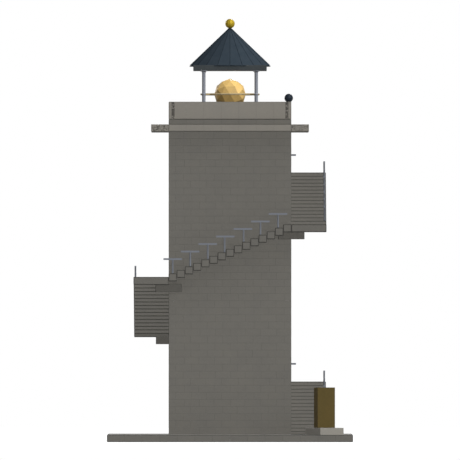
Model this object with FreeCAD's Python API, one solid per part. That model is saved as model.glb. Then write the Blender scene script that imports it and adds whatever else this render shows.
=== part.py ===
import FreeCAD, Part
import math
import os

# Lighthouse: a square stone tower with an outside stair that winds round it from a
# square plinth to an open deck, and a roofed lantern on the deck.
# Millimetres. Z is up, X is east, Y is north. The origin is the middle of the
# plinth's underside, and people first see the tower from the south.

# Stair
step_rise = 200.0
steps_per_flight = 15
flight_count = 6
stair_width = 2000.0
step_block_height = 450.0  # each step is one block, let into the wall by its tail
step_tail = 250.0
storey_height = step_rise * steps_per_flight

# Tower and plinth
tower_width = 7000.0
wall_thickness = 800.0
plinth_height = 400.0
plinth_margin = 1500.0  # plinth beyond the stair's outer edge
deck_thickness = 300.0
tower_half = tower_width / 2
shaft_half = tower_half - wall_thickness
stair_edge = tower_half + stair_width
step_run = tower_width / steps_per_flight
deck_level = plinth_height + flight_count * storey_height

# Landings and the corbels under them
landing_height = 450.0
corbel_width = 1500.0
corbel_height = 450.0
landing_seat = 50.0  # the landing is let this deep into its corbel

# Rails: T shaped, a post on a tread and one level bar
rails_per_flight = 7
rail_post_diameter = 100.0
rail_bar_section = 100.0
rail_bar_lap = 50.0
rail_inset = 100.0  # rail's middle in from the stair's outer edge
rail_height = 915.0  # bar's middle above the line of the stair
rail_tread_margin = 25.0  # least stone between a post and its tread's edge

# Gallery course and parapet
gallery_height = 400.0
gallery_reach = 1000.0
parapet_height = 1000.0
parapet_thickness = 200.0
parapet_inset = 150.0  # parapet's outer face in from the tower's face
stair_head_gap = 1000.0

# Ball on the parapet's south-east corner
parapet_ball_radius = 250.0
parapet_ball_flat = 40.0  # cut off its underside, so that it sits flat on the parapet
parapet_ball_sides = 12
parapet_ball_bands = 8

# Lantern
lantern_post_spacing = 3000.0
lantern_post_diameter = 200.0
lantern_post_height = 2800.0
roof_plate_overhang = 600.0  # beyond the middles of the posts
roof_plate_height = 300.0
roof_eave = 200.0  # roof's corners beyond the plate's sides
roof_height = 2200.0
roof_sides = 20
finial_radius = 275.0
finial_socket = 75.0  # depth that the roof's point enters the finial
finial_sides = 12
finial_bands = 8

# Lamp
globe_radius = 900.0
globe_level = 1450.0  # middle of the globe above the deck
lamp_pedestal_foot = 700.0
lamp_pedestal_neck = 450.0
lamp_pedestal_foot_height = 250.0
lamp_pedestal_sides = 20
ring_post_gap = 321.0  # clear between the ring and each post
ring_section = 115.0
ring_sides = 20
ring_bracket_section = 60.0

# Stele beside the foot of the stair
stele_width = 1170.0
stele_thickness = 390.0
stele_height = 2300.0
stele_pedestal_width = 1600.0
stele_pedestal_height = 400.0
stele_turn = 32.0  # degrees that its broad face turns east from south
stele_clearance = 1880.0  # stele's middle south of the stair's foot
stele_inset = 117.0  # stele's middle in from the stair's outer edge

up = FreeCAD.Vector(0, 0, 1)
# Outward direction of each side of the tower, in the order that the stair climbs
facings = [(1, 0), (0, 1), (-1, 0), (0, -1)]
side_names = ["east", "north", "west", "south"]
corner_names = ["ne", "nw", "sw", "se"]


def save(shape, name):
    shape.exportStep("parts/" + name + ".step")


def group(solids):
    return Part.makeCompound(solids)


def block(corner, opposite):
    low = [min(pair) for pair in zip(corner, opposite)]
    high = [max(pair) for pair in zip(corner, opposite)]
    size = [b - a for a, b in zip(low, high)]
    return Part.makeBox(size[0], size[1], size[2], FreeCAD.Vector(*low))


def side_point(side, along, out, height):
    """Point beside one wall: along is the way the stair climbs, out is from the axis."""
    out_x, out_y = facings[side % 4]
    return FreeCAD.Vector(out * out_x - along * out_y, out * out_y + along * out_x, height)


def side_block(side, along, out, height):
    """Box beside one wall, from three pairs of limits."""
    corner = side_point(side, along[0], out[0], height[0])
    opposite = side_point(side, along[1], out[1], height[1])
    return block(corner, opposite)


def facet_solid(faces):
    shell = Part.makeShell(faces)
    shell.sewShape()
    solid = Part.makeSolid(shell)
    if solid.Volume < 0:
        solid.reverse()
    return solid.removeSplitter()


def facet_turning(outline, sides, centre):
    """Solid with a regular polygon for a plan, from its (radius, height) outline."""
    def corner(point, index):
        angle = math.tau * index / sides - math.pi / 2
        radius, height = point
        return centre + FreeCAD.Vector(radius * math.cos(angle), radius * math.sin(angle), height)

    faces = []
    for start, end in zip(outline, outline[1:] + outline[:1]):
        if start[0] == 0 and end[0] == 0:
            continue
        for side in range(sides):
            corners = [corner(start, side)]
            if start[0] > 0:
                corners.append(corner(start, side + 1))
            corners.append(corner(end, side + 1))
            if end[0] > 0:
                corners.append(corner(end, side))
            faces.append(Part.Face(Part.makePolygon(corners + corners[:1])))
    return facet_solid(faces)


def facet_ball(radius, sides, bands, centre):
    outline = [(0, -radius)]
    for band in range(1, bands):
        tilt = math.pi * band / bands
        outline.append((radius * math.sin(tilt), -radius * math.cos(tilt)))
    outline.append((0, radius))
    return facet_turning(outline, sides, centre)


def triangle_ball(radius, centre):
    """Icosahedron with each face split in four, its points on one sphere."""
    golden = (1 + math.sqrt(5)) / 2
    points = []
    for short in (-1, 1):
        for long in (-golden, golden):
            points.append(FreeCAD.Vector(0, short, long))
            points.append(FreeCAD.Vector(short, long, 0))
            points.append(FreeCAD.Vector(long, 0, short))
    edge = 2.0

    def near(one, other):
        return abs(one.distanceToPoint(other) - edge) < 0.01

    def on_sphere(point):
        return centre + FreeCAD.Vector(point).normalize() * radius

    faces = []
    for a in range(12):
        for b in range(a + 1, 12):
            for c in range(b + 1, 12):
                one, two, three = points[a], points[b], points[c]
                if not (near(one, two) and near(two, three) and near(three, one)):
                    continue
                middle_a = (one + two) * 0.5
                middle_b = (two + three) * 0.5
                middle_c = (three + one) * 0.5
                quarters = [
                    (one, middle_a, middle_c),
                    (middle_a, two, middle_b),
                    (middle_c, middle_b, three),
                    (middle_a, middle_b, middle_c),
                ]
                for quarter in quarters:
                    corners = [on_sphere(point) for point in quarter]
                    faces.append(Part.Face(Part.makePolygon(corners + corners[:1])))
    return facet_solid(faces)


def make_step(flight, index):
    level = plinth_height + flight * storey_height
    top = level + (index + 1) * step_rise
    bottom = max(top - step_block_height, plinth_height)
    start = index * step_run - tower_half
    step = side_block(
        flight, (start, start + step_run), (tower_half - step_tail, stair_edge), (bottom, top)
    )
    if index == 0 and flight > 0:
        step = step.cut(make_step(flight - 1, steps_per_flight - 1))
    return step


def make_landing(flight):
    """Landing at the head of a flight, in the corner where the stair turns."""
    level = plinth_height + (flight + 1) * storey_height
    reach = (tower_half, stair_edge)
    return side_block(flight, reach, reach, (level - landing_height, level))


def make_corbel(flight):
    level = plinth_height + (flight + 1) * storey_height
    top = level - landing_height + landing_seat
    reach = (tower_half - corbel_width / 2, tower_half + corbel_width / 2)
    corbel = side_block(flight, reach, reach, (top - corbel_height, top))
    near = [make_step(flight, steps_per_flight - 1 - index) for index in range(3)]
    near += [make_step(flight + 1, index) for index in range(3)]
    return corbel.cut(near + [make_landing(flight)])


def make_rail(flight, index):
    """One T: a round post on its tread and a level square bar over it."""
    level = plinth_height + flight * storey_height
    along = step_run / 2 + index * tower_width / rails_per_flight
    tread = int(along // step_run)
    keep = rail_post_diameter / 2 + rail_tread_margin
    post_along = min(max(along, tread * step_run + keep), (tread + 1) * step_run - keep)
    bar_middle = level + along * step_rise / step_run + rail_height
    bar_half = rail_bar_section / 2
    bar_reach = (tower_width / rails_per_flight + rail_bar_lap) / 2
    out = stair_edge - rail_inset
    bar = side_block(
        flight,
        (along - tower_half - bar_reach, along - tower_half + bar_reach),
        (out - bar_half, out + bar_half),
        (bar_middle - bar_half, bar_middle + bar_half),
    )
    foot = side_point(flight, post_along - tower_half, out, level + (tread + 1) * step_rise)
    post = Part.makeCylinder(rail_post_diameter / 2, bar_middle - foot.z, foot, up)
    return bar.fuse(post).removeSplitter()


def make_walls(pockets):
    foot = plinth_height
    head = deck_level - deck_thickness - gallery_height
    full = (-tower_half, tower_half)
    between = (-shaft_half, shaft_half)
    thick = (shaft_half, tower_half)
    walls = {
        "wall_east": side_block(0, between, thick, (foot, head)),
        # The north wall runs up to the deck, because the last flight takes the gallery's place
        "wall_north": side_block(1, full, thick, (foot, head + gallery_height)),
        "wall_west": side_block(2, between, thick, (foot, head)),
        "wall_south": side_block(3, full, thick, (foot, head)),
    }
    for name, wall in walls.items():
        save(wall.cut(pockets), name)


def make_gallery(pockets):
    height = (deck_level - deck_thickness - gallery_height, deck_level - deck_thickness)
    edge = tower_half + gallery_reach
    for side in (0, 2):
        shelf = side_block(side, (-edge, edge), (tower_half, edge), height)
        tail = side_block(side, (-shaft_half, shaft_half), (shaft_half, tower_half), height)
        arm = shelf.fuse(tail).removeSplitter()
        save(arm.cut(pockets), "gallery_" + side_names[side])
    south = side_block(3, (-tower_half, tower_half), (shaft_half, edge), height)
    save(south.cut(pockets), "gallery_south")


def make_deck(pockets):
    deck = block(
        (-tower_half, -tower_half, deck_level - deck_thickness), (tower_half, tower_half, deck_level)
    )
    save(deck.cut(pockets), "roof_deck")


def make_parapet():
    height = (deck_level, deck_level + parapet_height)
    outer = tower_half - parapet_inset
    inner = outer - parapet_thickness
    save(side_block(0, (-inner, inner), (inner, outer), height), "parapet_east")
    save(side_block(2, (-inner, inner), (inner, outer), height), "parapet_west")
    save(side_block(3, (-tower_half, tower_half), (inner, outer), height), "parapet_south")
    # The stair comes in at the west end of the north parapet, and leaves a stub at the corner
    long_part = side_block(1, (-tower_half, inner - stair_head_gap), (inner, outer), height)
    stub = side_block(1, (inner, tower_half), (inner, outer), height)
    save(group([long_part, stub]), "parapet_north")

    ball_level = height[1] + parapet_ball_radius - parapet_ball_flat
    ball_middle = FreeCAD.Vector(outer, -(inner + outer) / 2, ball_level)
    ball = facet_ball(parapet_ball_radius, parapet_ball_sides, parapet_ball_bands, ball_middle)
    under = block((inner - parapet_ball_radius, -tower_width, height[0]), (tower_width, 0, height[1]))
    save(ball.cut(under), "parapet_ball")


def make_lantern():
    axis = FreeCAD.Vector(0, 0, deck_level)
    post_out = lantern_post_spacing / 2
    posts = []
    for side in range(4):
        foot = side_point(side, post_out, post_out, deck_level)
        posts.append(Part.makeCylinder(lantern_post_diameter / 2, lantern_post_height, foot, up))
    save(group(posts), "lantern_posts")

    plate_foot = deck_level + lantern_post_height
    plate_half = post_out + roof_plate_overhang
    plate = block(
        (-plate_half, -plate_half, plate_foot), (plate_half, plate_half, plate_foot + roof_plate_height)
    )
    save(plate, "roof_plate")

    eave = FreeCAD.Vector(0, 0, plate_foot + roof_plate_height)
    roof = facet_turning([(0, 0), (plate_half + roof_eave, 0), (0, roof_height)], roof_sides, eave)
    save(roof, "lantern_roof")
    finial_middle = eave + up * (roof_height + finial_radius - finial_socket)
    finial = facet_ball(finial_radius, finial_sides, finial_bands, finial_middle)
    save(finial.cut(roof), "roof_finial")

    globe = triangle_ball(globe_radius, axis + up * globe_level)
    save(globe, "lamp_globe")
    pedestal_outline = [
        (0, 0),
        (lamp_pedestal_foot, 0),
        (lamp_pedestal_foot, lamp_pedestal_foot_height),
        (lamp_pedestal_neck, lamp_pedestal_foot_height),
        (lamp_pedestal_neck, globe_level - globe_radius / 2),
        (0, globe_level - globe_radius / 2),
    ]
    pedestal = facet_turning(pedestal_outline, lamp_pedestal_sides, axis)
    save(pedestal.cut(globe), "lamp_pedestal")

    half = ring_section / 2
    bracket_end = post_out * math.sqrt(2)
    bracket_start = bracket_end - lantern_post_diameter / 2 - ring_post_gap - half
    ring_outline = []
    for corner in range(8):
        angle = math.pi * (2 * corner + 1) / 8
        ring_outline.append((bracket_start + half * math.cos(angle), half * math.sin(angle)))
    ring = facet_turning(ring_outline, ring_sides, axis + up * globe_level)
    bracket_half = ring_bracket_section / 2
    for side in range(4):
        bracket = block(
            (bracket_start, -bracket_half, deck_level + globe_level - bracket_half),
            (bracket_end, bracket_half, deck_level + globe_level + bracket_half),
        )
        bracket.rotate(FreeCAD.Vector(0, 0, 0), up, 45 + 90 * side)
        ring = ring.fuse(bracket)
    save(ring.cut(posts).removeSplitter(), "lamp_ring")


def make_stele():
    middle = FreeCAD.Vector(stair_edge - stele_inset, -tower_half - stele_clearance, 0)

    def turned_block(width, depth, foot, height):
        solid = block((-width / 2, -depth / 2, foot), (width / 2, depth / 2, foot + height))
        solid.rotate(FreeCAD.Vector(0, 0, 0), up, stele_turn)
        solid.translate(middle)
        return solid

    foot = plinth_height
    seat = foot + stele_pedestal_height
    pedestal = turned_block(stele_pedestal_width, stele_pedestal_width, foot, stele_pedestal_height)
    save(pedestal, "stele_pedestal")
    save(turned_block(stele_width, stele_thickness, seat, stele_height), "stele")


os.makedirs("parts", exist_ok=True)

plinth_half = stair_edge + plinth_margin
plinth = block((-plinth_half, -plinth_half, 0), (plinth_half, plinth_half, plinth_height))
save(plinth, "plinth")

steps = []
for flight in range(flight_count):
    flight_steps = [make_step(flight, index) for index in range(steps_per_flight)]
    steps += flight_steps
    number = str(flight + 1)
    save(group(flight_steps[0::2]), "flight_" + number + "_odd_steps")
    save(group(flight_steps[1::2]), "flight_" + number + "_even_steps")
    rails = [make_rail(flight, index) for index in range(rails_per_flight)]
    save(group(rails), "flight_" + number + "_rails")

corbels = []
for flight in range(flight_count - 1):
    corbels.append(make_corbel(flight))
    save(make_landing(flight), "landing_" + str(flight + 1) + "_" + corner_names[flight % 4])
save(group(corbels), "landing_corbels")

make_walls(steps + corbels)
make_gallery(steps)
make_deck(steps)
make_parapet()
make_lantern()
make_stele()
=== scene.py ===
import math
import random

import bmesh
import bpy
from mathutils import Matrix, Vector, noise


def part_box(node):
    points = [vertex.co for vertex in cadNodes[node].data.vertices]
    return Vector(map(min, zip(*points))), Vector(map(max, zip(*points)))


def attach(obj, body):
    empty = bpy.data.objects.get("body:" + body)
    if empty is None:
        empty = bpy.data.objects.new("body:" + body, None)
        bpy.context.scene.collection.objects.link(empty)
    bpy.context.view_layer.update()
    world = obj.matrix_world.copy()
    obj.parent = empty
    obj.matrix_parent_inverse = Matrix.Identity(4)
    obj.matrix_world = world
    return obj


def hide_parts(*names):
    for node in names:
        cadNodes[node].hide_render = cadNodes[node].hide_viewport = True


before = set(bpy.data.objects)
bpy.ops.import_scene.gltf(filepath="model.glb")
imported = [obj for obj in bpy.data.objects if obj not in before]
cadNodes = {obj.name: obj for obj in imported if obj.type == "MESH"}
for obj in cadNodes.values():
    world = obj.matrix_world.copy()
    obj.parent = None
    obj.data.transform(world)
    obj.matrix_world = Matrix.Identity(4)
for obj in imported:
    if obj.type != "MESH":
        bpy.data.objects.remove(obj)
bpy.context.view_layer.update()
dice = random.Random(11)
noise.seed_set(11)  # or else the worms differ from run to run

plinthLow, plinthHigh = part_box("plinth")
deckLow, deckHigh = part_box("roof_deck")
towerFoot = plinthHigh.z
towerHalf = deckHigh.x
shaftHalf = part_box("wall_east")[0].x
sides = ("south", "north", "east", "west")
flights = range(1, 7)
up = Vector((0, 0, 1))
weldReach = 0.0005  # points nearer than this are one


def newMaterial(name):
    material = bpy.data.materials.new(name)
    material.use_nodes = True
    return material, material.node_tree, material.node_tree.nodes["Principled BSDF"]


def addNoise(tree, scale, detail, roughness, distortion):
    place = tree.nodes.new("ShaderNodeTexCoord")
    grain = tree.nodes.new("ShaderNodeTexNoise")
    grain.inputs["Scale"].default_value = scale
    grain.inputs["Detail"].default_value = detail
    grain.inputs["Roughness"].default_value = roughness
    grain.inputs["Distortion"].default_value = distortion
    tree.links.new(place.outputs["Object"], grain.inputs["Vector"])
    return grain.outputs["Fac"]


def addMath(tree, operation, first, second, third=None):
    node = tree.nodes.new("ShaderNodeMath")
    node.operation = operation
    for socket, value in zip(node.inputs, (first, second, third)):
        if value is None:
            continue
        if isinstance(value, (int, float)):
            socket.default_value = value
        else:
            tree.links.new(value, socket)
    return node.outputs[0]


def addRange(tree, value, low, high):
    # noise keeps mostly to its middle half, which is spread from low to high
    node = tree.nodes.new("ShaderNodeMapRange")
    node.inputs["From Min"].default_value = 0.25
    node.inputs["From Max"].default_value = 0.75
    node.inputs["To Min"].default_value = low
    node.inputs["To Max"].default_value = high
    tree.links.new(value, node.inputs["Value"])
    return node.outputs["Result"]


def addBump(tree, shader, height, depth, strength):
    bump = tree.nodes.new("ShaderNodeBump")
    bump.inputs["Distance"].default_value = depth
    bump.inputs["Strength"].default_value = strength
    tree.links.new(height, bump.inputs["Height"])
    tree.links.new(bump.outputs["Normal"], shader.inputs["Normal"])


def addColour(tree, shader, colour, warm, drift, brightness):
    # drifts between two near colours, and scales them by the brightness
    blend = tree.nodes.new("ShaderNodeMix")
    blend.data_type = "RGBA"
    blend.inputs["A"].default_value = (*colour, 1)
    blend.inputs["B"].default_value = (*warm, 1)
    tree.links.new(drift, blend.inputs["Factor"])
    scaled = tree.nodes.new("ShaderNodeVectorMath")
    scaled.operation = "SCALE"
    tree.links.new(blend.outputs["Result"], scaled.inputs[0])
    tree.links.new(brightness, scaled.inputs["Scale"])
    tree.links.new(scaled.outputs["Vector"], shader.inputs["Base Color"])


def newPiece(name, mesh, material):
    # every piece rides on the tower
    mesh.materials.append(material)
    piece = bpy.data.objects.new(name, mesh)
    bpy.context.scene.collection.objects.link(piece)
    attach(piece, "root")
    return piece


# Texture of every stone; a noise is (scale, detail, roughness, distortion)
stoneTexture = {
    "clouds": (0.9, 5.0, 0.6, 0.4),
    "patches": (7.0, 6.0, 0.65, 0.2),
    "fleck": (24.0, 5.0, 0.7, 0.3),
    "grain": (85.0, 4.0, 0.7, 0.0),
    "fleckSpread": 2,  # of the stone's own spread of brightness
    "grainSpread": 3,
    "fleckDepth": 1.6,  # of the grain's depth
    "bump": 0.8,
    "darkest": 0.1,  # least brightness, in the bottom of a groove
}


def stoneMaterial(name, colour, warm, spread, rough, grainDepth, jointDark, gloss=0.25, edge=0.0):
    # tone and groove come from the mesh: tone is a stone's own shade, and on the stair it also holds
    # painted light and painted shade; groove is 1 in a joint, and on the worm panels it holds painted
    # shade at the bottom of the worms
    material, tree, shader = newMaterial(name)
    clouds = addNoise(tree, *stoneTexture["clouds"])
    patches = addNoise(tree, *stoneTexture["patches"])
    fleck = addNoise(tree, *stoneTexture["fleck"])
    grain = addNoise(tree, *stoneTexture["grain"])
    tone = tree.nodes.new("ShaderNodeAttribute")
    tone.attribute_name = "tone"
    groove = tree.nodes.new("ShaderNodeAttribute")
    groove.attribute_name = "groove"
    fleckSpread = stoneTexture["fleckSpread"] * spread
    grainSpread = stoneTexture["grainSpread"] * spread
    bright = addMath(tree, "ADD", addRange(tree, clouds, 1 - spread, 1 + spread), tone.outputs["Fac"])
    bright = addMath(tree, "MULTIPLY", bright, addRange(tree, patches, 1 - spread, 1 + spread))
    bright = addMath(tree, "MULTIPLY", bright, addRange(tree, fleck, 1 - fleckSpread, 1 + fleckSpread))
    bright = addMath(tree, "MULTIPLY", bright, addRange(tree, grain, 1 - grainSpread, 1 + grainSpread))
    dark = addMath(tree, "MULTIPLY_ADD", groove.outputs["Fac"], -jointDark, 1 - edge)
    dark = addMath(tree, "MAXIMUM", dark, stoneTexture["darkest"])
    bright = addMath(tree, "MULTIPLY", bright, dark)
    addColour(tree, shader, colour, warm, clouds, bright)
    tree.links.new(addRange(tree, patches, *rough), shader.inputs["Roughness"])
    height = addMath(tree, "MULTIPLY_ADD", fleck, stoneTexture["fleckDepth"], grain)
    addBump(tree, shader, height, grainDepth, stoneTexture["bump"])
    shader.inputs["Specular IOR Level"].default_value = gloss
    return material


# Stones: rough is (smoothest, roughest), jointDark is how much darker a joint is, depths are metres
towerStoneLook = {"colour": (0.135, 0.130, 0.119), "warm": (0.138, 0.131, 0.114), "spread": 0.035,
                  "rough": (0.78, 0.92), "grainDepth": 0.006, "jointDark": 0.60}
dressedStoneLook = {"colour": (0.208, 0.197, 0.176), "warm": (0.210, 0.195, 0.167), "spread": 0.03,
                    "rough": (0.72, 0.88), "grainDepth": 0.003, "jointDark": 0.50}
corbelStoneLook = {"colour": (0.098, 0.096, 0.087), "warm": (0.102, 0.095, 0.083), "spread": 0.05,
                   "rough": (0.82, 0.95), "grainDepth": 0.008, "jointDark": 0.42}
pedestalStoneLook = {"colour": (0.217, 0.208, 0.187), "warm": (0.220, 0.206, 0.178), "spread": 0.03,
                     "rough": (0.60, 0.80), "grainDepth": 0.002, "jointDark": 0.45}
steleStoneLook = {"colour": (0.072, 0.055, 0.0185), "warm": (0.077, 0.053, 0.0165), "spread": 0.06,
                  "rough": (0.60, 0.80), "grainDepth": 0.003, "jointDark": 0.45, "gloss": 0.08}
edgeDark = {"corbel": 0.4, "pedestal": 0.35, "stele": 0.4}  # how much darker an arris is than its stone

towerStone = stoneMaterial("grey_sawn_stone", **towerStoneLook)
dressedStone = stoneMaterial("light_dressed_stone", **dressedStoneLook)
corbelStone = stoneMaterial("dark_corbel_stone", **corbelStoneLook)
corbelEdge = stoneMaterial("dark_corbel_arris", **corbelStoneLook, edge=edgeDark["corbel"])
pedestalStone = stoneMaterial("pale_honed_stone", **pedestalStoneLook)
pedestalEdge = stoneMaterial("pale_stone_arris", **pedestalStoneLook, edge=edgeDark["pedestal"])
steleStone = stoneMaterial("brown_honed_stone", **steleStoneLook)
steleEdge = stoneMaterial("brown_stone_arris", **steleStoneLook, edge=edgeDark["stele"])

# Texture of every paint and metal: noises as for stone, but each finish sets its own grain's scale
metalTexture = {"clouds": (2.5, 4.0, 0.6, 0.3), "grain": (3.0, 0.5, 0.0), "bump": 0.6}


def metalMaterial(name, colour, warm, spread, rough, grainScale, grainDepth, metallic=0.0, gloss=0.2):
    material, tree, shader = newMaterial(name)
    clouds = addNoise(tree, *metalTexture["clouds"])
    grain = addNoise(tree, grainScale, *metalTexture["grain"])
    bright = addMath(tree, "MULTIPLY", addRange(tree, clouds, 1 - spread, 1 + spread),
                     addRange(tree, grain, 1 - spread / 2, 1 + spread / 2))
    addColour(tree, shader, colour, warm, clouds, bright)
    tree.links.new(addRange(tree, clouds, *rough), shader.inputs["Roughness"])
    addBump(tree, shader, grain, grainDepth, metalTexture["bump"])
    shader.inputs["Metallic"].default_value = metallic
    shader.inputs["Specular IOR Level"].default_value = gloss
    return material


# Paints and metals: a higher grainScale is a finer grain
railPaintLook = {"colour": (0.162, 0.173, 0.196), "warm": (0.153, 0.165, 0.190), "spread": 0.05,
                 "rough": (0.38, 0.50), "grainScale": 160, "grainDepth": 0.0006}
railEdgeLook = {"colour": (0.030, 0.032, 0.036), "warm": (0.033, 0.032, 0.031), "spread": 0.1,
                "rough": (0.45, 0.60), "grainScale": 160, "grainDepth": 0.0006, "metallic": 0.3}
postPaintLook = {"colour": (0.235, 0.247, 0.280), "warm": (0.224, 0.238, 0.274), "spread": 0.04,
                 "rough": (0.35, 0.48), "grainScale": 120, "grainDepth": 0.0006}
platePaintLook = {"colour": (0.039, 0.047, 0.051), "warm": (0.041, 0.047, 0.050), "spread": 0.06,
                  "rough": (0.40, 0.55), "grainScale": 120, "grainDepth": 0.0008}
roofSheetLook = {"colour": (0.0305, 0.0435, 0.0575), "warm": (0.033, 0.0435, 0.0545), "spread": 0.08,
                 "rough": (0.60, 0.75), "grainScale": 40, "grainDepth": 0.0012, "gloss": 0.0}
roofEdgeLook = {"colour": (0.015, 0.023, 0.031), "warm": (0.018, 0.024, 0.030), "spread": 0.08,
                "rough": (0.70, 0.85), "grainScale": 60, "grainDepth": 0.001, "gloss": 0.0}
gildingLook = {"colour": (0.40, 0.29, 0.018), "warm": (0.44, 0.30, 0.020), "spread": 0.07,
               "rough": (0.42, 0.55), "grainScale": 60, "grainDepth": 0.002, "metallic": 0.35}
ringBrassLook = {"colour": (0.42, 0.34, 0.20), "warm": (0.40, 0.31, 0.17), "spread": 0.08,
                 "rough": (0.45, 0.60), "grainScale": 90, "grainDepth": 0.001}
ballPaintLook = {"colour": (0.010, 0.017, 0.027), "warm": (0.013, 0.018, 0.027), "spread": 0.08,
                 "rough": (0.35, 0.50), "grainScale": 90, "grainDepth": 0.001}
lampIronLook = {"colour": (0.030, 0.033, 0.037), "warm": (0.034, 0.034, 0.034), "spread": 0.08,
                "rough": (0.45, 0.60), "grainScale": 90, "grainDepth": 0.002}

railPaint = metalMaterial("rail_grey_paint", **railPaintLook)
railEdge = metalMaterial("rail_worn_edge", **railEdgeLook)
postPaint = metalMaterial("post_grey_paint", **postPaintLook)
platePaint = metalMaterial("fascia_dark_paint", **platePaintLook)
roofSheet = metalMaterial("roof_slate_blue_sheet", **roofSheetLook)
roofEdge = metalMaterial("roof_dark_roll", **roofEdgeLook)
gilding = metalMaterial("finial_gilding", **gildingLook)
ringBrass = metalMaterial("ring_dull_brass", **ringBrassLook)
ballPaint = metalMaterial("ball_dark_paint", **ballPaintLook)
lampIron = metalMaterial("lamp_black_iron", **lampIronLook)

# Lamp: amber panes, each with its own random tint, and painted shade that darkens a pane the more it faces
# down
lampLook = {
    "colour": (0.86, 0.58, 0.21),
    "warm": (0.88, 0.58, 0.19),
    "darkestPaintedShade": 0.42,  # brightness of the most shaded pane, painted shade
    "paintedShadeBelow": -0.55,  # how far a pane faces up, -1 to 1
    "unshadedAbove": 0.75,
    "paneSpread": 0.20,
    "cloudSpread": 0.03,
    "clouds": (2.5, 4.0, 0.6, 0.3),
    "ripple": (14.0, 3.0, 0.5, 0.0),
    "rippleDepth": 0.0015,
    "bump": 0.5,
    "rough": (0.40, 0.52),
    "gloss": 0.25,
    "coat": 0.06,
    "coatRough": 0.25,
    "steady": 0.04,  # step that a pane's direction is rounded to, so that it keeps one tint
}


def lampGlassMaterial():
    material, tree, shader = newMaterial("lamp_amber_glass")
    facing = tree.nodes.new("ShaderNodeNewGeometry")
    steady = tree.nodes.new("ShaderNodeVectorMath")
    steady.operation = "SNAP"
    steady.inputs[1].default_value = [lampLook["steady"]] * 3
    tree.links.new(facing.outputs["True Normal"], steady.inputs[0])
    pane = tree.nodes.new("ShaderNodeTexWhiteNoise")
    tree.links.new(steady.outputs["Vector"], pane.inputs["Vector"])
    split = tree.nodes.new("ShaderNodeSeparateXYZ")
    tree.links.new(steady.outputs["Vector"], split.inputs["Vector"])
    # painted shade: panes that face down are darker, panes that face up stay bright
    paintedShade = tree.nodes.new("ShaderNodeMapRange")
    paintedShade.interpolation_type = "SMOOTHSTEP"
    paintedShade.inputs["From Min"].default_value = lampLook["paintedShadeBelow"]
    paintedShade.inputs["From Max"].default_value = lampLook["unshadedAbove"]
    paintedShade.inputs["To Min"].default_value = lampLook["darkestPaintedShade"]
    paintedShade.inputs["To Max"].default_value = 1.0
    tree.links.new(split.outputs["Z"], paintedShade.inputs["Value"])
    tint = tree.nodes.new("ShaderNodeMapRange")
    tint.inputs["To Min"].default_value = 1 - lampLook["paneSpread"]
    tint.inputs["To Max"].default_value = 1 + lampLook["paneSpread"]
    tree.links.new(pane.outputs["Value"], tint.inputs["Value"])
    clouds = addNoise(tree, *lampLook["clouds"])
    ripple = addNoise(tree, *lampLook["ripple"])
    spread = lampLook["cloudSpread"]
    bright = addMath(tree, "MULTIPLY", paintedShade.outputs["Result"], tint.outputs["Result"])
    bright = addMath(tree, "MULTIPLY", bright, addRange(tree, clouds, 1 - spread, 1 + spread))
    addColour(tree, shader, lampLook["colour"], lampLook["warm"], clouds, bright)
    tree.links.new(addRange(tree, ripple, *lampLook["rough"]), shader.inputs["Roughness"])
    addBump(tree, shader, ripple, lampLook["rippleDepth"], lampLook["bump"])
    shader.inputs["Specular IOR Level"].default_value = lampLook["gloss"]
    shader.inputs["Coat Weight"].default_value = lampLook["coat"]
    shader.inputs["Coat Roughness"].default_value = lampLook["coatRough"]
    return material


lampGlass = lampGlassMaterial()
print("materials made")

# What all the cut stones share
stoneCut = {
    "openJoint": 0.0005,  # clear on each side of a joint, so that every stone is a body of its own
    "hiddenArris": 0.002,  # on stones inside the walls
    "widestMargin": 0.45,  # largest share of a side that a drafted margin takes
    "slopeShade": 0.6,  # groove on the slope from a margin up to the stone's face
}
openJoint = stoneCut["openJoint"]
blockSides = 6


def blockTemplate():
    # 24 corner points, three a corner, and 26 faces: 6 sides, 12 arrises, 8 tips
    def index(corner, axis):
        return (corner[0] * 4 + corner[1] * 2 + corner[2]) * 3 + axis

    corners = [(x, y, z) for x in (0, 1) for y in (0, 1) for z in (0, 1)]
    faces = []
    for axis in range(3):
        one, two = [a for a in range(3) if a != axis]
        for side in (0, 1):
            ring = []
            for first, second in ((0, 0), (1, 0), (1, 1), (0, 1)):
                corner = [0, 0, 0]
                corner[axis], corner[one], corner[two] = side, first, second
                ring.append(index(corner, axis))
            faces.append(ring)
    for along in range(3):
        one, two = [a for a in range(3) if a != along]
        for first in (0, 1):
            for second in (0, 1):
                ends = []
                for end in (0, 1):
                    corner = [0, 0, 0]
                    corner[along], corner[one], corner[two] = end, first, second
                    ends.append(corner)
                start, stop = ends
                faces.append([index(start, one), index(stop, one), index(stop, two), index(start, two)])
    for corner in corners:
        faces.append([index(corner, 0), index(corner, 1), index(corner, 2)])

    def place(i):
        # the points of a rough block, which show which way a face is turned
        corner, axis = corners[i // 3], i % 3
        return Vector([(1 if corner[a] else -1) * (1.0 if a == axis else 0.8) for a in range(3)])

    turned = []
    for face in faces:
        points = [place(i) for i in face]
        normal = (points[1] - points[0]).cross(points[2] - points[0])
        turned.append(face if normal.dot(sum(points, Vector())) > 0 else face[::-1])
    return corners, turned


blockCorners, blockFaces = blockTemplate()


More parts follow.
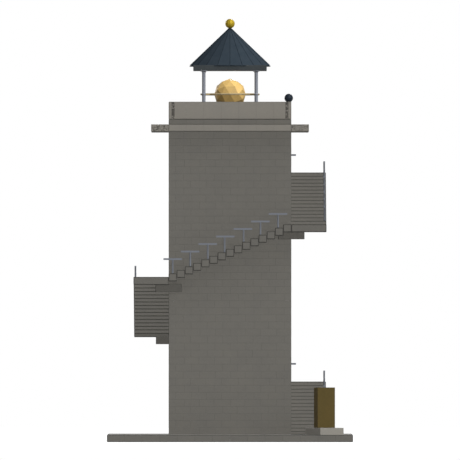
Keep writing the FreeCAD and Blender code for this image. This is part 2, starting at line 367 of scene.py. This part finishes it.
class Stones:
    # stones of one piece, gathered and then made into one mesh

    def __init__(self, grooveShade=1.0):
        self.points, self.faces, self.tones, self.grooves = [], [], [], []
        self.grooveShade = grooveShade

    def addFace(self, face, tone, groove):
        self.faces.append(face)
        self.tones.append(tone)
        self.grooves.append(groove * self.grooveShade)

    def addMargin(self, ring, number, low, high, tone, margins, sink):
        # a sunk margin round one side, the slope up from it, and the raised field inside
        axis, side = number // 2, number % 2
        middle = (low + high) / 2
        for rise, groove in ((0.0, 1.0), (sink, stoneCut["slopeShade"])):
            inner = []
            for i in blockFaces[number]:
                corner = blockCorners[i // 3]
                point = [0, 0, 0]
                for a in range(3):
                    end = high[a] if corner[a] else low[a]
                    if a == axis:
                        end += rise if side else -rise
                    else:
                        step = min(margins[a] + rise, stoneCut["widestMargin"] * (high[a] - low[a]))
                        end += -step if end > middle[a] else step
                    point[a] = end
                inner.append(len(self.points))
                self.points.append(point)
            for k in range(4):
                following = (k + 1) % 4
                self.addFace([ring[k], ring[following], inner[following], inner[k]], tone, groove)
            ring = inner
        self.addFace(ring, tone, 0.0)

    def add(self, low, high, cuts, tone=0.0, margins=None, sink=0.0):
        # cuts: width of the arris beside each side, as ((x low, x high), (y low, y high), (z low, z high))
        # margins: width of the drafted margin beside each pair of sides, sunk below the stone's face
        low, high = Vector(low), Vector(high)
        if margins:
            low, high = low + Vector([sink] * 3), high - Vector([sink] * 3)
        start = len(self.points)
        for corner in blockCorners:
            for axis in range(3):
                point = []
                for a in range(3):
                    end = high[a] if corner[a] else low[a]
                    if a != axis:
                        inset = min(cuts[a][corner[a]], cuts[axis][corner[axis]])
                        end += -inset if corner[a] else inset
                    point.append(end)
                self.points.append(point)
        for number, face in enumerate(blockFaces):
            ring = [start + i for i in face]
            if number >= blockSides:
                self.addFace(ring, tone, 1.0)
            elif margins:
                self.addMargin(ring, number, low, high, tone, margins, sink)
            else:
                self.addFace(ring, tone, 0.0)

    def lay(self, low, high, splits, arris, joint, spread, tone=0.0, margins=None, sink=0.0):
        # splits: places inside low and high where the joints run, for each axis
        marks = [[low[a], *splits[a], high[a]] for a in range(3)]
        for i in range(len(marks[0]) - 1):
            for j in range(len(marks[1]) - 1):
                for k in range(len(marks[2]) - 1):
                    stoneLow, stoneHigh, cuts = [], [], []
                    for number, places in zip((i, j, k), marks):
                        first, last = number == 0, number == len(places) - 2
                        stoneLow.append(places[number] + (0 if first else openJoint))
                        stoneHigh.append(places[number + 1] - (0 if last else openJoint))
                        cuts.append((arris if first else joint, arris if last else joint))
                    shade = tone + dice.uniform(-spread, spread)
                    self.add(stoneLow, stoneHigh, cuts, shade, margins, sink)

    def layHidden(self, low, high):
        # one plain block inside the walls
        self.lay(low, high, ([], [], []), stoneCut["hiddenArris"], stoneCut["hiddenArris"], 0.0)

    def finish(self, name, material, slot, *stoodFor):
        mesh = bpy.data.meshes.new(name)
        mesh.from_pydata(self.points, [], self.faces)
        for label, values in (("tone", self.tones), ("groove", self.grooves)):
            attribute = mesh.attributes.new(label, "FLOAT", "FACE")
            attribute.data.foreach_set("value", values)
        piece = newPiece(name, mesh, material)
        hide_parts(*stoodFor)


def evenly(low, high, count, wander=0.0):
    step = (high - low) / count
    return [low + step * i + dice.uniform(-wander, wander) for i in range(1, count)]


def solidBoxes(nodeName):
    # lowest corner, highest corner and points of each separate solid of a CAD node
    shape = bmesh.new()
    shape.from_mesh(cadNodes[nodeName].data)
    bmesh.ops.remove_doubles(shape, verts=shape.verts, dist=weldReach)
    left = dict.fromkeys(shape.verts)  # in order, so that every run rounds alike
    boxes = []
    while left:
        queue = [left.popitem()[0]]
        solid = []
        while queue:
            vert = queue.pop()
            solid.append(vert.co.copy())
            for edge in vert.link_edges:
                other = edge.other_vert(vert)
                if other in left:
                    del left[other]
                    queue.append(other)
        low = Vector([min(p[a] for p in solid) for a in range(3)])
        high = Vector([max(p[a] for p in solid) for a in range(3)])
        boxes.append((low, high, solid))
    shape.free()
    return sorted(boxes, key=lambda box: (round(box[0].z, 3), round(box[0].x, 3), round(box[0].y, 3)))


# Tower: ashlar courses bonded at the corners, on an inner leaf
tower = {
    "courses": 43,  # from the plinth up to the gallery
    "leaf": 0.4,  # thickness of the outer leaf, metres
    "longCourse": 8,  # stones in a course that runs to both corners
    "shortCourse": 7,
    "joint": 0.004,
    "arris": 0.016,
    "wander": 0.05,  # how far an upright joint strays
    "relief": 0.003,  # farthest that a stone's face stands back
    "toneSpread": 0.012,
    "jointShade": 0.6,
}


def buildWall(side):
    name = "wall_" + side
    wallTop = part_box(name)[1].z
    stones = Stones(tower["jointShade"])
    along = 0 if side in ("south", "north") else 1
    across = 1 - along
    sign = -1 if side in ("south", "west") else 1
    inner = towerHalf - tower["leaf"]
    rise = (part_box("wall_south")[1].z - towerFoot) / tower["courses"]
    count = math.ceil((wallTop - towerFoot) / rise - 0.01)  # rounding adds no thin course
    for course in range(count):
        bottom = towerFoot + course * rise
        top = min(bottom + rise, wallTop)
        bottom += openJoint if course else 0
        top -= openJoint if course < count - 1 else 0
        toCorners = (course % 2 == 0) == (along == 0)
        reach = towerHalf if toCorners else inner
        number = tower["longCourse"] if toCorners else tower["shortCourse"]
        marks = [-reach, *evenly(-reach, reach, number, tower["wander"]), reach]
        for i in range(number):
            atStart, atEnd = toCorners and i == 0, toCorners and i == number - 1
            face = towerHalf - dice.uniform(0, tower["relief"])
            low, high = [0, 0, bottom], [0, 0, top]
            low[along] = marks[i] + (0 if atStart else openJoint)
            high[along] = marks[i + 1] - (0 if atEnd else openJoint)
            low[across], high[across] = sorted((sign * (inner + openJoint), sign * face))
            cuts = [(tower["joint"], tower["joint"])] * 3
            cuts[along] = tuple(tower["arris"] if end else tower["joint"] for end in (atStart, atEnd))
            cuts[across] = (tower["joint"], tower["arris"])[::sign]
            stones.add(low, high, cuts, dice.uniform(-tower["toneSpread"], tower["toneSpread"]))
    low, high = [0, 0, towerFoot], [0, 0, wallTop]
    low[across], high[across] = sorted((sign * shaftHalf, sign * inner))
    low[along], high[along] = (-inner, inner) if along == 0 else (-shaftHalf, shaftHalf)
    stones.layHidden(low, high)
    stones.finish(name + "_ashlar", towerStone, "tower_stone", name)


for side in sides:
    buildWall(side)
print("tower walls laid")

# Plinth: square flags, one metre
plinth = {
    "flag": 1.0,
    "joint": 0.004,
    "arris": 0.034,
    "tone": -0.09,
    "toneSpread": 0.02,
}
count = round((plinthHigh.x - plinthLow.x) / plinth["flag"])
flags = Stones()
splits = evenly(plinthLow.x, plinthHigh.x, count)
flags.lay(plinthLow, plinthHigh, (splits, splits, []), plinth["arris"], plinth["joint"],
          plinth["toneSpread"], plinth["tone"])
flags.finish("plinth_flags", towerStone, "tower_stone", "plinth")

# Deck: flags over the tower
deck = {"flags": 7, "joint": 0.004, "arris": 0.026, "toneSpread": 0.02}
flags = Stones()
splits = evenly(deckLow.x, deckHigh.x, deck["flags"])
flags.lay(deckLow, deckHigh, (splits, splits, []), deck["arris"], deck["joint"], deck["toneSpread"])
flags.finish("deck_flags", towerStone, "tower_stone", "roof_deck")

# Stair: one block a step, and one slab a landing, with drafted margins round their sides
stair = {
    "arris": 0.010,
    "sideMargin": 0.034,  # upright margins
    "levelMargin": 0.040,  # margins along top and bottom
    "sink": 0.004,
    "levelPaintedShade": -0.09,  # painted shade: flights along the front and back, and landings, darker to cancel the extra light they catch
    "sidePaintedLight": 0.10,  # painted light: flights along the sides, lighter to cancel the shade of the tower and landings
    "toneSpread": 0.015,
}


def layStairStone(stones, low, high, tone):
    margins = (stair["sideMargin"], stair["sideMargin"], stair["levelMargin"])
    stones.lay(low, high, ([], [], []), stair["arris"], stair["arris"], stair["toneSpread"],
               tone, margins, stair["sink"])


for flight in flights:
    for row in ("odd", "even"):
        nodeName = f"flight_{flight}_{row}_steps"
        steps = Stones()
        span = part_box(nodeName)[1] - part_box(nodeName)[0]
        # painted shade on front and back flights and landings, painted light on side flights, carried in
        # the stone's tone
        tone = stair["levelPaintedShade"] if span.x > span.y else stair["sidePaintedLight"]
        for low, high, _ in solidBoxes(nodeName):
            layStairStone(steps, low, high, tone)
        steps.finish(f"flight_{flight}_{row}_blocks", towerStone, "tower_stone", nodeName)
for nodeName in sorted(n for n in cadNodes if n.startswith("landing_") and n != "landing_corbels"):
    slab = Stones()
    layStairStone(slab, *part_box(nodeName), stair["levelPaintedShade"])
    slab.finish(nodeName + "_slab", towerStone, "tower_stone", nodeName)
print("stair laid")

# Gallery course and parapet: dressed stones a metre long
course = {"stone": 1.0, "joint": 0.003, "arris": 0.026, "toneSpread": 0.012, "galleryTone": -0.04}


def layCourse(stones, low, high, along, tone=0.0):
    count = max(1, round((high[along] - low[along]) / course["stone"]))
    splits = [[], [], []]
    splits[along] = evenly(low[along], high[along], count)
    stones.lay(low, high, splits, course["arris"], course["joint"], course["toneSpread"], tone)


for side, sign in (("east", 1), ("west", -1)):
    low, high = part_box("gallery_" + side)
    stones = Stones()
    inner, outer = sorted((sign * towerHalf, sign * max(abs(low.x), abs(high.x))))
    layCourse(stones, (inner, low.y, low.z), (outer, high.y, high.z), 1, course["galleryTone"])
    tail, face = sorted((sign * shaftHalf, sign * towerHalf))
    stones.layHidden((tail, -shaftHalf, low.z), (face, shaftHalf, high.z))
    stones.finish(f"gallery_{side}_course", dressedStone, "dressed_stone", "gallery_" + side)
stones = Stones()
layCourse(stones, *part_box("gallery_south"), 0, course["galleryTone"])
stones.finish("gallery_south_course", dressedStone, "dressed_stone", "gallery_south")

for side in sides:
    stones = Stones()
    for low, high, _ in solidBoxes("parapet_" + side):
        layCourse(stones, low, high, 0 if side in ("south", "north") else 1)
    stones.finish(f"parapet_{side}_slabs", dressedStone, "dressed_stone", "parapet_" + side)
print("deck, gallery and parapet laid")

# Worm-cut panels on the ends of the gallery arms and on the parapet's corners
wormwork = {
    "pitch": 0.0125,  # mesh spacing
    "relief": 0.018,
    "border": 0.012,
    "scale": 9.0,  # worms a metre
    "bend": 0.7,
    "bendScale": 0.6,
    "roundness": 0.5,  # power that shapes a worm's section
    "galleryWidth": 0.10,
    "parapetWidth": 0.42,
    "wormPaintedShade": 1.5,  # painted shade: how much darker than a joint the bottom of a worm is, darker the deeper the cut
}


def wormPanel(name, corner, across, size, outward, width, seed):
    # a raised field with wandering grooves; across is the level direction, size is (wide, tall)
    columns = round(size[0] / wormwork["pitch"])
    rows = round(size[1] / wormwork["pitch"])
    points, cut = [], []
    for row in range(rows + 1):
        for column in range(columns + 1):
            u, v = size[0] * column / columns, size[1] * row / rows
            spot = Vector((u, v, seed)) * wormwork["scale"]
            bend = noise.noise_vector(spot * wormwork["bendScale"]) * wormwork["bend"]
            worm = abs(noise.noise(spot + bend))
            edge = min(u, v, size[0] - u, size[1] - v)
            field = min(1.0, max(0.0, (edge - wormwork["border"] / 2) / wormwork["border"]))
            depth = max(0.0, 1 - worm / width) ** wormwork["roundness"] * field
            # painted shade: the deeper a worm is cut, the darker its bottom
            cut.append(depth * wormwork["wormPaintedShade"])
            onRim = edge <= 1e-6
            out = -wormwork["relief"] if onRim else wormwork["relief"] * (1 - depth)
            points.append(corner + across * u + up * v + outward * out)
    wide, last, centre = columns + 1, len(points) - 1, len(points)
    faces = []
    for row in range(rows):
        for column in range(columns):
            i = row * wide + column
            faces.append([i, i + 1, i + wide + 1, i + wide])
    # a fan of faces closes the back, inside the stone
    rim = [*range(columns), *range(columns, last, wide)]
    rim += [*range(last, last - columns, -1), *range(last - columns, 0, -wide)]
    for first, second in zip(rim, rim[1:] + rim[:1]):
        faces.append([second, first, centre])
    points.append((points[0] + points[last]) / 2)
    cut.append(0.0)
    if across.cross(up).dot(outward) < 0:
        faces = [face[::-1] for face in faces]
    mesh = bpy.data.meshes.new(name)
    mesh.from_pydata(points, [], faces)
    attribute = mesh.attributes.new("groove", "FLOAT", "POINT")
    attribute.data.foreach_set("value", cut)
    newPiece(name, mesh, dressedStone)


galleryLow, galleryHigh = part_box("gallery_east")
parapetLow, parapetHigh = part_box("parapet_south")
cornerIn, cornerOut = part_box("parapet_east")[0].x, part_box("parapet_east")[1].x
# Each place: its inner and outer x on the east side, its y on the north side, and its foot and head
wormPlaces = (
    ("gallery", (towerHalf, galleryHigh.x), galleryHigh.y, (galleryLow.z, galleryHigh.z),
     wormwork["galleryWidth"], 0),
    ("parapet", (cornerIn, cornerOut), -parapetLow.y, (parapetLow.z, parapetHigh.z),
     wormwork["parapetWidth"], 9),
)
for yName, ySign in (("south", -1), ("north", 1)):
    for xName, xSign in (("east", 1), ("west", -1)):
        for place, (near, far), face, (foot, head), width, seed in wormPlaces:
            corner = Vector((min(xSign * near, xSign * far), ySign * face, foot))
            size = (far - near, head - foot)
            outward = Vector((0, ySign, 0))
            wormPanel(f"worm_panel_{place}_{yName}_{xName}", corner, Vector((1, 0, 0)), size, outward,
                      width, seed + 3 * xSign + ySign)
print("worm-cut panels made")

# Pieces that keep their CAD shape; chamfers have a darker edge material, roundings have none
chamfer = {"corbels": 0.024, "stelePedestal": 0.018, "stele": 0.014, "rails": 0.025, "angle": 30}
rounding = {"roofPlate": 0.012, "lampGlobe": 0.006, "lampPedestal": 0.010, "angle": 20}


def dressNode(nodeName, material, edge=None, width=0.0):
    # gives a CAD node its material, and cuts its arrises without touching its own mesh
    node = cadNodes[nodeName]
    node.data.materials.clear()
    node.data.materials.append(material)
    for polygon in node.data.polygons:
        polygon.material_index = 0
    if not width:
        return
    if edge:
        node.data.materials.append(edge)
    weld = node.modifiers.new("weld", "WELD")
    weld.merge_threshold = weldReach
    bevel = node.modifiers.new("arris", "BEVEL")
    bevel.width = width
    bevel.segments = 1 if edge else 2
    bevel.limit_method = "ANGLE"
    bevel.angle_limit = math.radians(chamfer["angle"] if edge else rounding["angle"])
    bevel.material = 1 if edge else -1
    bevel.use_clamp_overlap = True


dressNode("landing_corbels", corbelStone, corbelEdge, chamfer["corbels"])
dressNode("stele_pedestal", pedestalStone, pedestalEdge, chamfer["stelePedestal"])
dressNode("stele", steleStone, steleEdge, chamfer["stele"])
for flight in flights:
    dressNode(f"flight_{flight}_rails", railPaint, railEdge, chamfer["rails"])
dressNode("lantern_posts", postPaint)
dressNode("roof_plate", platePaint, None, rounding["roofPlate"])
dressNode("lantern_roof", roofSheet)
dressNode("roof_finial", gilding)
dressNode("lamp_globe", lampGlass, None, rounding["lampGlobe"])
dressNode("lamp_pedestal", lampIron, None, rounding["lampPedestal"])
dressNode("lamp_ring", ringBrass)
dressNode("parapet_ball", ballPaint)
print("CAD nodes dressed")

# Bolts: sizes of the parts of one bolt, as shares of its size
boltShape = {
    "washer": 0.95,
    "washerSides": 16,
    "washerThick": 0.15,
    "head": 0.62,
    "headSides": 6,
    "headTop": 0.5,
    "headSide": 0.38,
    "headHeight": 0.45,
}


class Fitting:
    # closed metal shapes of one piece, gathered and then made into one mesh

    def __init__(self):
        self.shape = bmesh.new()

    def skin(self, rings, smooth):
        # faces between each ring and the next, and a flat cap at each end
        for under, over in zip(rings, rings[1:]):
            for i in range(len(under)):
                j = (i + 1) % len(under)
                face = self.shape.faces.new((under[i], under[j], over[j], over[i]))
                face.smooth = smooth
        self.shape.faces.new(rings[0][::-1])
        self.shape.faces.new(rings[-1])

    def lathe(self, outline, count, centre, turn=0.0, smooth=True):
        # outline: (radius, height) from the bottom up
        rings = []
        for radius, height in outline:
            ring = []
            for i in range(count):
                angle = turn + 2 * math.pi * i / count
                spot = centre + Vector((radius * math.cos(angle), radius * math.sin(angle), height))
                ring.append(self.shape.verts.new(spot))
            rings.append(ring)
        self.skin(rings, smooth)

    def plate(self, low, high, edge):
        # flat plate with its upper arrises taken off
        rings = []
        for inset, z in ((0, low.z), (0, high.z - edge), (edge, high.z)):
            corners = ((low.x + inset, low.y + inset), (high.x - inset, low.y + inset),
                       (high.x - inset, high.y - inset), (low.x + inset, high.y - inset))
            rings.append([self.shape.verts.new((x, y, z)) for x, y in corners])
        self.skin(rings, False)

    def bolt(self, foot, size, turn=0.0):
        # washer and hexagon head
        washer, thick = size * boltShape["washer"], size * boltShape["washerThick"]
        self.lathe([(washer, 0), (washer, thick)], boltShape["washerSides"], foot)
        head = size * boltShape["head"]
        outline = [(head, 0), (head, size * boltShape["headSide"]),
                   (size * boltShape["headTop"], size * boltShape["headHeight"])]
        self.lathe(outline, boltShape["headSides"], foot + up * thick, turn, False)

    def tube(self, start, end, radius, count=8):
        along = (end - start).normalized()
        across = along.orthogonal().normalized()
        other = along.cross(across)
        rings = []
        for spot in (start, end):
            ring = []
            for i in range(count):
                angle = 2 * math.pi * i / count
                out = math.cos(angle) * across + math.sin(angle) * other
                ring.append(self.shape.verts.new(spot + radius * out))
            rings.append(ring)
        self.skin(rings, True)

    def finish(self, name, material, slot):
        bmesh.ops.recalc_face_normals(self.shape, faces=self.shape.faces)
        mesh = bpy.data.meshes.new(name)
        self.shape.to_mesh(mesh)
        self.shape.free()
        newPiece(name, mesh, material)


def footOf(points):
    # middle of the lowest points of a solid
    bottom = min(point.z for point in points)
    low = [point for point in points if point.z < bottom + 0.002]
    return sum(low, Vector()) / len(low)


# Base plate under each rail post, with four bolts
railPlate = {"half": 0.070, "thick": 0.012, "edge": 0.003, "bolt": 0.012, "boltIn": 0.015}
for flight in flights:
    plates = Fitting()
    for _, _, points in solidBoxes(f"flight_{flight}_rails"):
        foot = footOf(points)
        half, thick = railPlate["half"], railPlate["thick"]
        plates.plate(foot - Vector((half, half, 0)), foot + Vector((half, half, thick)), railPlate["edge"])
        out = half - railPlate["boltIn"]
        for x, y in ((-out, -out), (out, -out), (out, out), (-out, out)):
            plates.bolt(foot + Vector((x, y, thick)), railPlate["bolt"], dice.uniform(0, 1))
    plates.finish(f"flight_{flight}_rail_plates", railEdge, "rail_metal")

# Flanges at the foot and head of each lantern post, and the clip that the ring's bracket bears on
postFitting = {
    "post": 0.1,  # radius of the post
    "radius": 0.19,
    "thick": 0.03,
    "edge": 0.006,
    "neck": 0.125,
    "neckHeight": 0.07,
    "neckTaper": 0.015,
    "bolts": 8,
    "bolt": 0.02,
    "clipRadius": 0.118,
    "clipHeight": 0.11,
    "clipEdge": 0.004,
    "sides": 32,
}
ringMiddle = (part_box("lamp_ring")[0].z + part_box("lamp_ring")[1].z) / 2
fittings = Fitting()
for low, high, _ in solidBoxes("lantern_posts"):
    foot = Vector(((low.x + high.x) / 2, (low.y + high.y) / 2, low.z))
    radius, neck, thick = postFitting["radius"], postFitting["neck"], postFitting["thick"]
    rim, collar = radius - postFitting["edge"], neck - postFitting["neckTaper"]
    rise = postFitting["neckHeight"]
    tall = high.z - low.z
    footFlange = [(radius, 0), (radius, thick - postFitting["edge"]), (rim, thick), (neck, thick),
                  (collar, thick + rise)]
    headFlange = [(out, tall - height) for out, height in reversed(footFlange)]
    clip, half = postFitting["clipRadius"], postFitting["clipHeight"] / 2
    middle = ringMiddle - low.z
    ends = half + postFitting["clipEdge"]
    clipRing = [(postFitting["post"], middle - ends), (clip, middle - half), (clip, middle + half),
                (postFitting["post"], middle + ends)]
    for outline in (footFlange, headFlange, clipRing):
        fittings.lathe(outline, postFitting["sides"], foot)
    for i in range(postFitting["bolts"]):
        angle = 2 * math.pi * (i + 0.5) / postFitting["bolts"]
        out = (radius + neck) / 2
        spot = foot + Vector((out * math.cos(angle), out * math.sin(angle), thick))
        fittings.bolt(spot, postFitting["bolt"], angle)
fittings.finish("lantern_post_flanges", postPaint, "post_paint")

# Rolls over the roof's arrises, and the roll along its eaves
roofTrim = {
    "roll": 0.013,  # radius
    "rollFrom": 0.006,  # where a roll starts and stops, as shares of the way from eave to apex
    "rollTo": 0.975,
    "eaveRoll": 0.026,
    "eaveInset": 0.997,
}
apex = max((v.co for v in cadNodes["lantern_roof"].data.vertices), key=lambda co: co.z).copy()
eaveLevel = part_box("lantern_roof")[0].z
eavePoints = []  # the eave's corners, each once
for vertex in cadNodes["lantern_roof"].data.vertices:
    co = vertex.co
    if co.z < eaveLevel + 0.001 and math.hypot(co.x, co.y) > 1.0:
        if all((co - other).length > 0.01 for other in eavePoints):
            eavePoints.append(co.copy())
eavePoints.sort(key=lambda co: math.atan2(co.y, co.x))
rolls = Fitting()
for i, point in enumerate(eavePoints):
    slope = apex - point
    rolls.tube(point + slope * roofTrim["rollFrom"], point + slope * roofTrim["rollTo"], roofTrim["roll"])
    following = eavePoints[(i + 1) % len(eavePoints)]
    lift = up * roofTrim["eaveRoll"]
    rolls.tube(point * roofTrim["eaveInset"] + lift, following * roofTrim["eaveInset"] + lift,
               roofTrim["eaveRoll"])
rolls.finish("roof_rolls", roofEdge, "roof_sheet")

# Lead collar under the finial
leadCollar = {
    "height": 0.13,
    "drop": 0.07,  # below the finial
    "lip": 0.006,  # clear of the roof
    "hem": 0.02,
    "shoulder": (1.5, 2.5),  # lips at the foot and head of the shoulder
    "neck": 0.8,
    "sides": 24,
}
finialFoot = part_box("roof_finial")[0].z
eaveRadius = max(math.hypot(co.x, co.y) for co in eavePoints)


def roofRadius(level):
    return eaveRadius * (apex.z - level) / (apex.z - eaveLevel)


collar = Fitting()
collarFoot = finialFoot - leadCollar["drop"]
footRadius, headRadius = roofRadius(collarFoot), roofRadius(finialFoot)
lip, hem = leadCollar["lip"], leadCollar["hem"]
lower, upper = leadCollar["shoulder"]
collarOutline = [(footRadius + lip, 0), (footRadius + lip, hem),
                 (headRadius + lip * lower, leadCollar["drop"]),
                 (headRadius + lip * upper, leadCollar["drop"] + hem),
                 (headRadius * leadCollar["neck"], leadCollar["height"])]
collar.lathe(collarOutline, leadCollar["sides"], up * collarFoot)
collar.finish("finial_collar", roofEdge, "roof_sheet")

# Holding-down bolts round the lamp's foot
lampFoot = {"bolts": 10, "bolt": 0.028, "radius": 0.62}
shelf = sorted({round(v.co.z, 3) for v in cadNodes["lamp_pedestal"].data.vertices})[1]  # top of the foot
bolts = Fitting()
for i in range(lampFoot["bolts"]):
    angle = 2 * math.pi * (i + 0.5) / lampFoot["bolts"]
    spot = Vector((lampFoot["radius"] * math.cos(angle), lampFoot["radius"] * math.sin(angle), shelf))
    bolts.bolt(spot, lampFoot["bolt"], angle)
bolts.finish("lamp_pedestal_bolts", lampIron, "lamp_iron")

# Seat ring under the parapet's ball
ballSeat = {"radius": 0.145, "height": 0.03, "edge": 0.7, "top": 0.93, "sides": 28}
ballLow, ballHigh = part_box("parapet_ball")
seat = Fitting()
seatOutline = [(ballSeat["radius"], 0), (ballSeat["radius"], ballSeat["height"] * ballSeat["edge"]),
               (ballSeat["radius"] * ballSeat["top"], ballSeat["height"])]
seat.lathe(seatOutline, ballSeat["sides"],
           Vector(((ballLow.x + ballHigh.x) / 2, (ballLow.y + ballHigh.y) / 2, ballLow.z)))
seat.finish("parapet_ball_seat", ballPaint, "ball_iron")
print("fittings made")

# Camera: a very long lens far off, so that level lines stay level
view = {
    "width": 26.286,  # metres across, at the plane below
    "plane": -1.75,  # between the lantern and the tower's front
    "middle": 12.084,
    "lens": 1700.0,
    "sensor": 36.0,
    "eyeLevel": 8.0,
    "nearest": 10.0,
}
# Floor: a pale disc, lifted to near white for the eye without lighting the tower
ground = {"radius": 130.0, "sides": 96, "drop": 0.001, "shade": 0.35, "rough": 0.9, "lift": 0.70}

cameraData = bpy.data.cameras.new("studio_camera")
cameraData.lens = view["lens"]
cameraData.sensor_width = view["sensor"]
distance = view["width"] / 2 / (cameraData.sensor_width / 2 / cameraData.lens)
cameraData.clip_start = view["nearest"]
cameraData.clip_end = distance + 3 * ground["radius"]
camera = bpy.data.objects.new("studio_camera", cameraData)
bpy.context.scene.collection.objects.link(camera)
camera.location = (0, view["plane"] - distance, view["eyeLevel"])
aim = Vector((0, view["plane"], view["middle"])) - camera.location
camera.rotation_euler = aim.to_track_quat("-Z", "Y").to_euler()
bpy.context.scene.camera = camera

floorMesh = bpy.data.meshes.new("studio_floor")
floorShape = bmesh.new()
bmesh.ops.create_circle(floorShape, cap_ends=True, segments=ground["sides"], radius=ground["radius"])
floorShape.to_mesh(floorMesh)
floorShape.free()
floor = bpy.data.objects.new("studio_floor", floorMesh)
bpy.context.scene.collection.objects.link(floor)
floor.location.z = -ground["drop"]
floorPaint, floorTree, floorShader = newMaterial("pale_floor")
floorShader.inputs["Base Color"].default_value = (*[ground["shade"]] * 3, 1)
floorShader.inputs["Roughness"].default_value = ground["rough"]
floorShader.inputs["Specular IOR Level"].default_value = 0.0
floorShader.inputs["Emission Color"].default_value = (1, 1, 1, 1)
floorRays = floorTree.nodes.new("ShaderNodeLightPath")
floorLift = addMath(floorTree, "MULTIPLY", floorRays.outputs["Is Camera Ray"], ground["lift"])
floorTree.links.new(floorLift, floorShader.inputs["Emission Strength"])
floorMesh.materials.append(floorPaint)

# Lights: suns; azimuth is degrees from the camera towards the right
light = {
    "keyAzimuth": 55.0,
    "keyHeight": 40.0,
    "keyPower": 3.6,
    "shadowShare": 0.2,  # of the key's power, from a wide source that casts soft shadows
    "softness": 5.0,
    "shadowSoftness": 40.0,
    "sky": 0.17,
}
# (azimuth, height, power) of each fill
fills = (
    (-50.0, 12.0, 0.2),
    (0.0, 25.0, 0.63),
    (-140.0, 15.0, 1.0),
    (168.0, 24.0, 1.2),
)


def addSun(name, azimuth, height, power, softness, shadow):
    data = bpy.data.lights.new(name, "SUN")
    data.energy = power
    data.angle = math.radians(softness)
    data.use_shadow = shadow
    sun = bpy.data.objects.new(name, data)
    bpy.context.scene.collection.objects.link(sun)
    turn, tilt = math.radians(azimuth), math.radians(height)
    source = Vector((math.sin(turn) * math.cos(tilt), -math.cos(turn) * math.cos(tilt), math.sin(tilt)))
    sun.rotation_euler = source.to_track_quat("Z", "Y").to_euler()


softPower = light["keyPower"] * light["shadowShare"]
openPower = light["keyPower"] * (1 - light["shadowShare"])
addSun("key_open", light["keyAzimuth"], light["keyHeight"], openPower, light["softness"], False)
addSun("key_soft", light["keyAzimuth"], light["keyHeight"], softPower, light["shadowSoftness"], True)
for number, (azimuth, height, power) in enumerate(fills):
    addSun(f"fill_{number + 1}", azimuth, height, power, light["softness"], False)

# Sky: dim for the light it gives, white for the eye
world = bpy.data.worlds.new("studio_sky")
world.use_nodes = True
bpy.context.scene.world = world
skyTree = world.node_tree
background = skyTree.nodes["Background"]
background.inputs["Color"].default_value = (1, 1, 1, 1)
rays = skyTree.nodes.new("ShaderNodeLightPath")
level = skyTree.nodes.new("ShaderNodeMapRange")
level.inputs["To Min"].default_value = light["sky"]
level.inputs["To Max"].default_value = 1.0
skyTree.links.new(rays.outputs["Is Camera Ray"], level.inputs["Value"])
skyTree.links.new(level.outputs["Result"], background.inputs["Strength"])
bpy.context.scene.view_settings.view_transform = "Standard"
print("camera, floor and light set")
